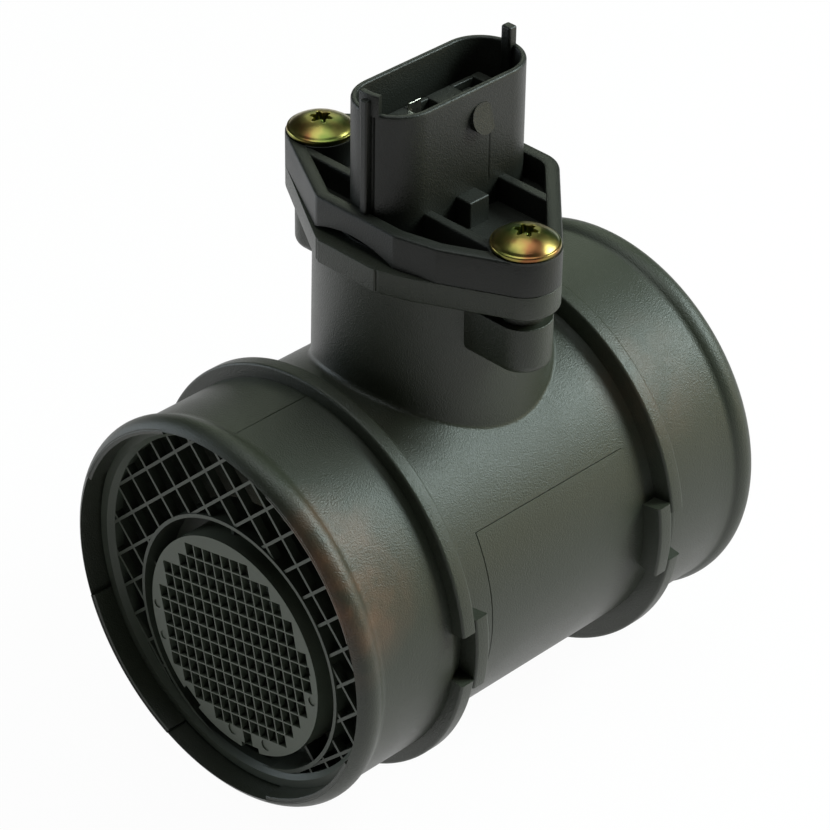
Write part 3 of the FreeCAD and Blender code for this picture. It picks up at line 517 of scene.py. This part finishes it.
def across(inset, y0, y1, z0, z1):
    """A bar from end to end of the probe, set in at both ends."""
    x0, x1 = TOWER_X - PROBE_HALF + inset, TOWER_X + PROBE_HALF - inset
    post([(x0, y0), (x1, y0), (x1, y1), (x0, y1)], z0, z1)


REBATE_Y = PROBE_Y - COVER_T
BARS = ((PROBE_LOW + 1, PROBE_LOW + 2.4), (1.0, 4.0), (46.0, ROOT_LOW))  # cross bars behind the covers
for end, way in ((TOWER_X - PROBE_HALF, 1), (TOWER_X + PROBE_HALF, -1)):
    edge, deep = end + way * REBATE, end + way * POST_IN
    tee = [(end, -PROBE_Y), (edge, -PROBE_Y), (edge, -REBATE_Y), (deep, -REBATE_Y), (deep, REBATE_Y),
           (edge, REBATE_Y), (edge, PROBE_Y), (end, PROBE_Y)]
    post(tee, PROBE_LOW, CHANNEL_LOW)
    post(tee, CHANNEL_HIGH, JOINT_Z)
    for side in (-1, 1):
        post([(end, side * REBATE_Y), (edge, side * REBATE_Y), (edge, side * PROBE_Y), (end, side * PROBE_Y)],
             CHANNEL_LOW, CHANNEL_HIGH)
for z0, z1 in BARS:
    across(POST_IN, -REBATE_Y, REBATE_Y, z0, z1)
for z0, z1 in ((PROBE_LOW, PROBE_LOW + 1), (ROOT_LOW, JOINT_Z)):
    across(REBATE, -PROBE_Y, PROBE_Y, z0, z1)
across(REBATE, REBATE_Y, PROBE_Y, 2.0, 2.7)

# %% [markdown]
# The screws have a wide rim, a low full dome and a six-lobed security recess. The head is one height field
# over polar coordinates: the recess edge is a circle whose radius swings six times round.


# %% Screws
def dome(r, height):
    """Height of the head over the flange at radius r."""
    return TOP_Z + RIM_H + (height - RIM_H) * (1 - (r / (HEAD_R - 0.3)) ** 2.4)


def screw_head(x, y, height):
    """A full dome; inside the lobed edge it drops to the recess with its small middle pin."""
    a = np.linspace(0, 2 * math.pi, 144, endpoint=False)
    lobe = LOBE_R + LOBE_SWING * np.cos(6 * a)
    floor_z = TOP_Z + height - RECESS_D
    circles = [(0.02, floor_z + 1.4), (0.4, floor_z + 1.4), (0.52, floor_z + 1.3), (PIN_R, floor_z + 1.1),
               (PIN_R, floor_z), (0.92 * lobe, floor_z), (0.96 * lobe, floor_z + 0.1)]
    circles += [(k * lobe, dome(k * lobe, height) - drop)
                for k, drop in ((0.985, 0.3), (1.0, 0.1), (1.06, 0.0))]
    circles += [(r, dome(r, height)) for r in np.linspace(2.8, HEAD_R - 0.75, 18)]
    circles += [(r, TOP_Z + z) for r, z in (
        (HEAD_R - 0.5, 1.22), (HEAD_R - 0.35, 1.1), (HEAD_R - 0.18, 1.08), (HEAD_R - 0.06, 0.98),
        (HEAD_R, 0.75), (HEAD_R, 0.35), (HEAD_R - 0.1, 0.05), (HEAD_R - 1.5, 0.0), (0.02, 0.0))]
    return np.array([np.stack([x + r * np.cos(a), y + r * np.sin(a), z + 0 * a], -1) for r, z in circles])


screws = {name: Skin().add(screw_head(*at, height), loop_v=True, cap_u=True)
          for name, at, height in (("screw_front", FRONT, 3.6), ("screw_rear", REAR, 3.2))}

# %% [markdown]
# Moulded glass-filled plastic is nearly black, with a fine spark-eroded grain that catches soft light as a
# grey haze. One node group makes that grain and haze, and each plastic sets its own colour and strength.


# %% Shared effects
def group(name, inputs, outputs):
    """An empty shader node group with named sockets."""
    tree = bpy.data.node_groups.new(name, "ShaderNodeTree")
    for label, kind, value in inputs:
        socket = tree.interface.new_socket(label, in_out="INPUT", socket_type=kind)
        if value is not None:
            socket.default_value = value
    for label, kind in outputs:
        tree.interface.new_socket(label, in_out="OUTPUT", socket_type=kind)
    return tree, tree.nodes.new("NodeGroupInput"), tree.nodes.new("NodeGroupOutput")


def node(tree, kind, **values):
    """A node with its settings and its unlinked input values."""
    made = tree.nodes.new(kind)
    for key, value in values.items():
        if key.startswith("in_"):
            made.inputs[int(key[3:])].default_value = value
        else:
            setattr(made, key, value)
    return made


def link(tree, *pairs):
    """Joins output and input sockets, given in pairs."""
    for a, b in pairs:
        tree.links.new(a, b)


ROUGH_SWING = 0.16
grain, gi, go = group("moulded grain",
                      [("Colour", "NodeSocketColor", (0.1, 0.1, 0.1, 1)), ("Haze", "NodeSocketFloat", 0.1),
                       ("Grain size", "NodeSocketFloat", 3000.0), ("Roughness", "NodeSocketFloat", 0.5)],
                      [("Colour", "NodeSocketColor"), ("Roughness", "NodeSocketFloat"),
                       ("Height", "NodeSocketFloat")])
where = node(grain, "ShaderNodeTexCoord")
fine = node(grain, "ShaderNodeTexNoise", in_3=2.0, in_4=0.6)
cloud = node(grain, "ShaderNodeTexNoise", in_2=45.0, in_3=3.0, in_4=0.6)
mix = node(grain, "ShaderNodeMix", data_type="RGBA")
amount = node(grain, "ShaderNodeMath", operation="MULTIPLY")
rough = node(grain, "ShaderNodeMath", operation="MULTIPLY_ADD", in_1=ROUGH_SWING)
haze_colour = node(grain, "ShaderNodeRGB")
haze_colour.outputs[0].default_value = (0.5, 0.5, 0.42, 1)
link(grain, (where.outputs["Object"], fine.inputs["Vector"]),
     (where.outputs["Object"], cloud.inputs["Vector"]), (gi.outputs["Grain size"], fine.inputs["Scale"]),
     (gi.outputs["Haze"], amount.inputs[0]), (cloud.outputs["Fac"], amount.inputs[1]),
     (amount.outputs[0], mix.inputs[0]), (gi.outputs["Colour"], mix.inputs[6]),
     (haze_colour.outputs[0], mix.inputs[7]), (mix.outputs[2], go.inputs["Colour"]),
     (cloud.outputs["Fac"], rough.inputs[0]), (gi.outputs["Roughness"], rough.inputs[2]),
     (rough.outputs[0], go.inputs["Roughness"]), (fine.outputs["Fac"], go.inputs["Height"]))


def plastic(name, colour, haze, bump, roughness, specular=0.3):
    """Moulded plastic: the grain group feeds colour, roughness and a small bump."""
    mat = bpy.data.materials.get(name) or bpy.data.materials.new(name)
    mat.use_nodes = True
    tree = mat.node_tree
    shader = tree.nodes["Principled BSDF"]
    effect = node(tree, "ShaderNodeGroup", node_tree=grain)
    effect.inputs["Colour"].default_value = (*colour, 1)
    effect.inputs["Haze"].default_value = haze
    effect.inputs["Roughness"].default_value = roughness - ROUGH_SWING / 2
    bumps = node(tree, "ShaderNodeBump")
    bumps.inputs["Strength"].default_value = bump
    bumps.inputs["Distance"].default_value = 0.0002
    shader.inputs["Specular IOR Level"].default_value = specular
    link(tree, (effect.outputs["Colour"], shader.inputs["Base Color"]),
         (effect.outputs["Roughness"], shader.inputs["Roughness"]),
         (effect.outputs["Height"], bumps.inputs["Height"]),
         (bumps.outputs["Normal"], shader.inputs["Normal"]))
    return mat


def metal(name, colour, roughness, metallic=1.0):
    """Metal or hard glossy surface with fine clouds in its roughness."""
    mat = bpy.data.materials.get(name) or bpy.data.materials.new(name)
    mat.use_nodes = True
    tree = mat.node_tree
    shader = tree.nodes["Principled BSDF"]
    where = node(tree, "ShaderNodeTexCoord")
    noise = node(tree, "ShaderNodeTexNoise", in_2=900.0, in_3=3.0)
    spread = node(tree, "ShaderNodeMapRange", in_3=roughness * 0.8, in_4=roughness * 1.25)
    bumps = node(tree, "ShaderNodeBump")
    bumps.inputs["Strength"].default_value = 0.1
    bumps.inputs["Distance"].default_value = 0.00005
    shader.inputs["Base Color"].default_value = (*colour, 1)
    shader.inputs["Metallic"].default_value = metallic
    link(tree, (where.outputs["Object"], noise.inputs["Vector"]), (noise.outputs["Fac"], spread.inputs[0]),
         (spread.outputs[0], shader.inputs["Roughness"]), (noise.outputs["Fac"], bumps.inputs["Height"]),
         (bumps.outputs["Normal"], shader.inputs["Normal"]))
    return mat


def zinc(name):
    """Yellow passivated zinc: the film's colour drifts from gold to green and pink in soft patches."""
    mat = metal(name, (0.2, 0.18, 0.06), 0.3)
    tree = mat.node_tree
    shader = tree.nodes["Principled BSDF"]
    where = node(tree, "ShaderNodeTexCoord")
    noise = node(tree, "ShaderNodeTexNoise", in_2=160.0, in_3=2.0)
    ramp = node(tree, "ShaderNodeValToRGB")
    stops = [(0.32, (0.13, 0.17, 0.04, 1)), (0.45, (0.24, 0.22, 0.06, 1)), (0.56, (0.27, 0.21, 0.06, 1)),
             (0.68, (0.24, 0.1, 0.04, 1))]
    while len(ramp.color_ramp.elements) < len(stops):
        ramp.color_ramp.elements.new(0.5)
    for stop, (at, colour) in zip(ramp.color_ramp.elements, stops):
        stop.position, stop.color = at, colour
    link(tree, (where.outputs["Object"], noise.inputs["Vector"]), (noise.outputs["Fac"], ramp.inputs["Fac"]),
         (ramp.outputs["Color"], shader.inputs["Base Color"]))
    return mat


def painted_warm_reflection(mat, spot, reach, colour):
    """A painted warm reflection: a cloudy warm brown tint round one spot, given in metres, laid over the
    plastic's own colour.
    """
    tree = mat.node_tree
    shader = tree.nodes["Principled BSDF"]
    under = shader.inputs["Base Color"].links[0].from_socket
    where = node(tree, "ShaderNodeTexCoord")
    away = node(tree, "ShaderNodeVectorMath", operation="DISTANCE")
    away.inputs[1].default_value = spot
    fade = node(tree, "ShaderNodeMapRange", in_1=reach * 0.25, in_2=reach, in_3=1.0, in_4=0.0)
    cloud = node(tree, "ShaderNodeTexNoise", in_2=140.0, in_3=3.0)
    patch = node(tree, "ShaderNodeMapRange", in_1=0.35, in_2=0.7, in_3=0.15, in_4=1.0)
    part = node(tree, "ShaderNodeMath", operation="MULTIPLY")
    mix = node(tree, "ShaderNodeMix", data_type="RGBA")
    mix.inputs[7].default_value = (*colour, 1)
    link(tree, (where.outputs["Object"], away.inputs[0]), (away.outputs["Value"], fade.inputs[0]),
         (where.outputs["Object"], cloud.inputs["Vector"]), (cloud.outputs["Fac"], patch.inputs[0]),
         (fade.outputs[0], part.inputs[0]), (patch.outputs[0], part.inputs[1]),
         (part.outputs[0], mix.inputs[0]), (under, mix.inputs[6]),
         (mix.outputs[2], shader.inputs["Base Color"]))


finishes = {
    "housing": plastic("housing", (0.029, 0.033, 0.022), haze=0.015, bump=0.6, roughness=0.4, specular=0.42),
    "body": plastic("body", (0.012, 0.013, 0.010), haze=0.008, bump=0.5, roughness=0.43, specular=0.36),
    "grid": plastic("grid", (0.07, 0.078, 0.06), haze=0.02, bump=0.2, roughness=0.4),
    "mesh": plastic("mesh", (0.10, 0.11, 0.083), haze=0.03, bump=0.2, roughness=0.4),
    "seal": plastic("seal", (0.012, 0.012, 0.012), haze=0.01, bump=0.2, roughness=0.5),
    "plate": metal("plate", (0.7, 0.71, 0.72), 0.35),
    "board": plastic("board", (0.6, 0.6, 0.55), haze=0.02, bump=0.05, roughness=0.5),
    "chip": plastic("chip", (0.02, 0.02, 0.022), haze=0.02, bump=0.1, roughness=0.4),
    "carrier": plastic("carrier", (0.55, 0.53, 0.48), haze=0.02, bump=0.05, roughness=0.5),
    "silicon": metal("silicon", (0.1, 0.12, 0.18), 0.12, 0.4),
    "cover": plastic("cover", (0.012, 0.012, 0.011), haze=0.03, bump=0.3, roughness=0.45),
    "pearl": metal("pearl", (0.12, 0.13, 0.12), 0.15, 0.0),
    "lead": metal("lead", (0.6, 0.6, 0.6), 0.3),
    "contact": metal("contact", (0.62, 0.6, 0.52), 0.28),
    "screw": zinc("screw"),
}

# painted warm reflection: warm brown patches on the inlet bead and on the barrel by the right collar stand in
# for warm light from below right
painted_warm_reflection(finishes["housing"], (-0.0585, -0.034, 0.025), 0.023, (0.15, 0.075, 0.042))
painted_warm_reflection(finishes["housing"], (0.036, -0.030, 0.028), 0.017, (0.08, 0.056, 0.036))

# %% Make the pieces and dress the nodes
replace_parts(tube.make("tube_skin", "housing", 40), "flow_tube")
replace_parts(collars.make("collars_and_lips", "housing", 40), "flow_tube")
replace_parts(column.make("tower_and_flange", "housing", 40), "flow_tube")
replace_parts(body.make("sensor_skin", "body", 40), "sensor_body")
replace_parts(probe.make("plug_and_probe", "body", 40), "sensor_body")
blade.make("contact_blade", "contact", 40)
for name, skin in screws.items():
    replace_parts(skin.make(name + "_head", "screw", 50), name)
slots = {s["node"]: s["material_slot"] for s in frame["record"]["subparts"]}
for name, cad in nodes.items():
    cad.data.materials.clear()
    cad.data.materials.append(finishes[slots[name]])

# %% [markdown]
# The floor is plain white to the camera and in reflections, and keeps a trace of the shadow under the tube.
# The lamps follow the brightness along the tube in the photo, and the camera was fitted to its circles.

# %% Floor, light and camera
bpy.ops.mesh.primitive_plane_add(size=6, location=(0, 0, cad_low.z - 0.0005))
floor = bpy.context.object
floor.name = "floor"
paper = bpy.data.materials.new("paper")
paper.use_nodes = True
tree = paper.node_tree
matt = tree.nodes["Principled BSDF"]
matt.inputs["Base Color"].default_value = (0.92, 0.92, 0.92, 1)
matt.inputs["Roughness"].default_value = 0.9
path = node(tree, "ShaderNodeLightPath")
seen = node(tree, "ShaderNodeMath", operation="MAXIMUM")
clear = node(tree, "ShaderNodeMath", operation="MAXIMUM")
share = node(tree, "ShaderNodeMath", operation="MULTIPLY", in_1=0.97)
white = node(tree, "ShaderNodeEmission")
blend = node(tree, "ShaderNodeMixShader")
link(tree, (path.outputs["Is Camera Ray"], seen.inputs[0]), (path.outputs["Is Glossy Ray"], seen.inputs[1]),
     (seen.outputs[0], clear.inputs[0]), (path.outputs["Is Transmission Ray"], clear.inputs[1]),
     (clear.outputs[0], share.inputs[0]), (share.outputs[0], blend.inputs[0]),
     (matt.outputs[0], blend.inputs[1]), (white.outputs[0], blend.inputs[2]),
     (blend.outputs[0], tree.nodes["Material Output"].inputs["Surface"]))
floor.data.materials.append(paper)
floor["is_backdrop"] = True

world = bpy.data.worlds.new("studio")
bpy.context.scene.world = world
world.use_nodes = True
world.node_tree.nodes["Background"].inputs["Color"].default_value = (1, 1, 1, 1)
world.node_tree.nodes["Background"].inputs["Strength"].default_value = 0.012


def lamp(name, at, size, power, colour):
    """A soft square lamp that faces the foot of the tower, in metres and watts."""
    light = bpy.data.lights.new(name, "AREA")
    light.size, light.energy, light.color = size, power, colour
    holder = bpy.data.objects.new(name, light)
    bpy.context.scene.collection.objects.link(holder)
    holder.location = at
    holder.rotation_euler = (Vector((0, 0, 0.03)) - Vector(at)).to_track_quat("-Z", "Y").to_euler()


lamp("key_softbox", (0.48, -0.35, 0.48), 0.3, 6.0, (0.84, 1.0, 0.97))
lamp("top_softbox", (0.0, 0.05, 0.78), 0.5, 2.2, (0.92, 1.0, 0.98))
lamp("low_warm", (0.55, -0.60, 0.12), 0.4, 1.1, (1.0, 0.84, 0.5))
lamp("rim_left", (-0.35, 0.72, 0.12), 0.4, 2.0, (0.8, 0.92, 1.0))
lamp("rim_back", (0.45, 0.45, 0.42), 0.4, 0.7, (0.88, 1.0, 0.8))

PHOTO_PX, FOCAL_PX = 830, 3659.32
turn, tilt, roll = math.radians(-45.55), math.radians(33.75), math.radians(0.86)
back = Vector((math.sin(turn) * math.cos(tilt), -math.cos(turn) * math.cos(tilt), math.sin(tilt)))
right = Vector((math.cos(turn), math.sin(turn), 0))
up = back.cross(right)
right, up = right * math.cos(roll) + up * math.sin(roll), up * math.cos(roll) - right * math.sin(roll)
camera = bpy.data.objects.new("camera", bpy.data.cameras.new("camera"))
bpy.context.scene.collection.objects.link(camera)
camera.matrix_world = Matrix.Translation((-0.44856, -0.43828, 0.44109)) @ Matrix(
    (right, up, back)).transposed().to_4x4()
camera.data.sensor_width, camera.data.lens = 36, 36 * FOCAL_PX / PHOTO_PX
camera.data.clip_start, camera.data.clip_end = 0.05, 20
bpy.context.scene.camera = camera
bpy.context.scene.view_settings.view_transform = "Standard"

# %% Write the sizes and finish
low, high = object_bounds()
print("grown mm", [round(1000 * v, 2) for v in (*(cad_low - low), *(high - cad_high))])
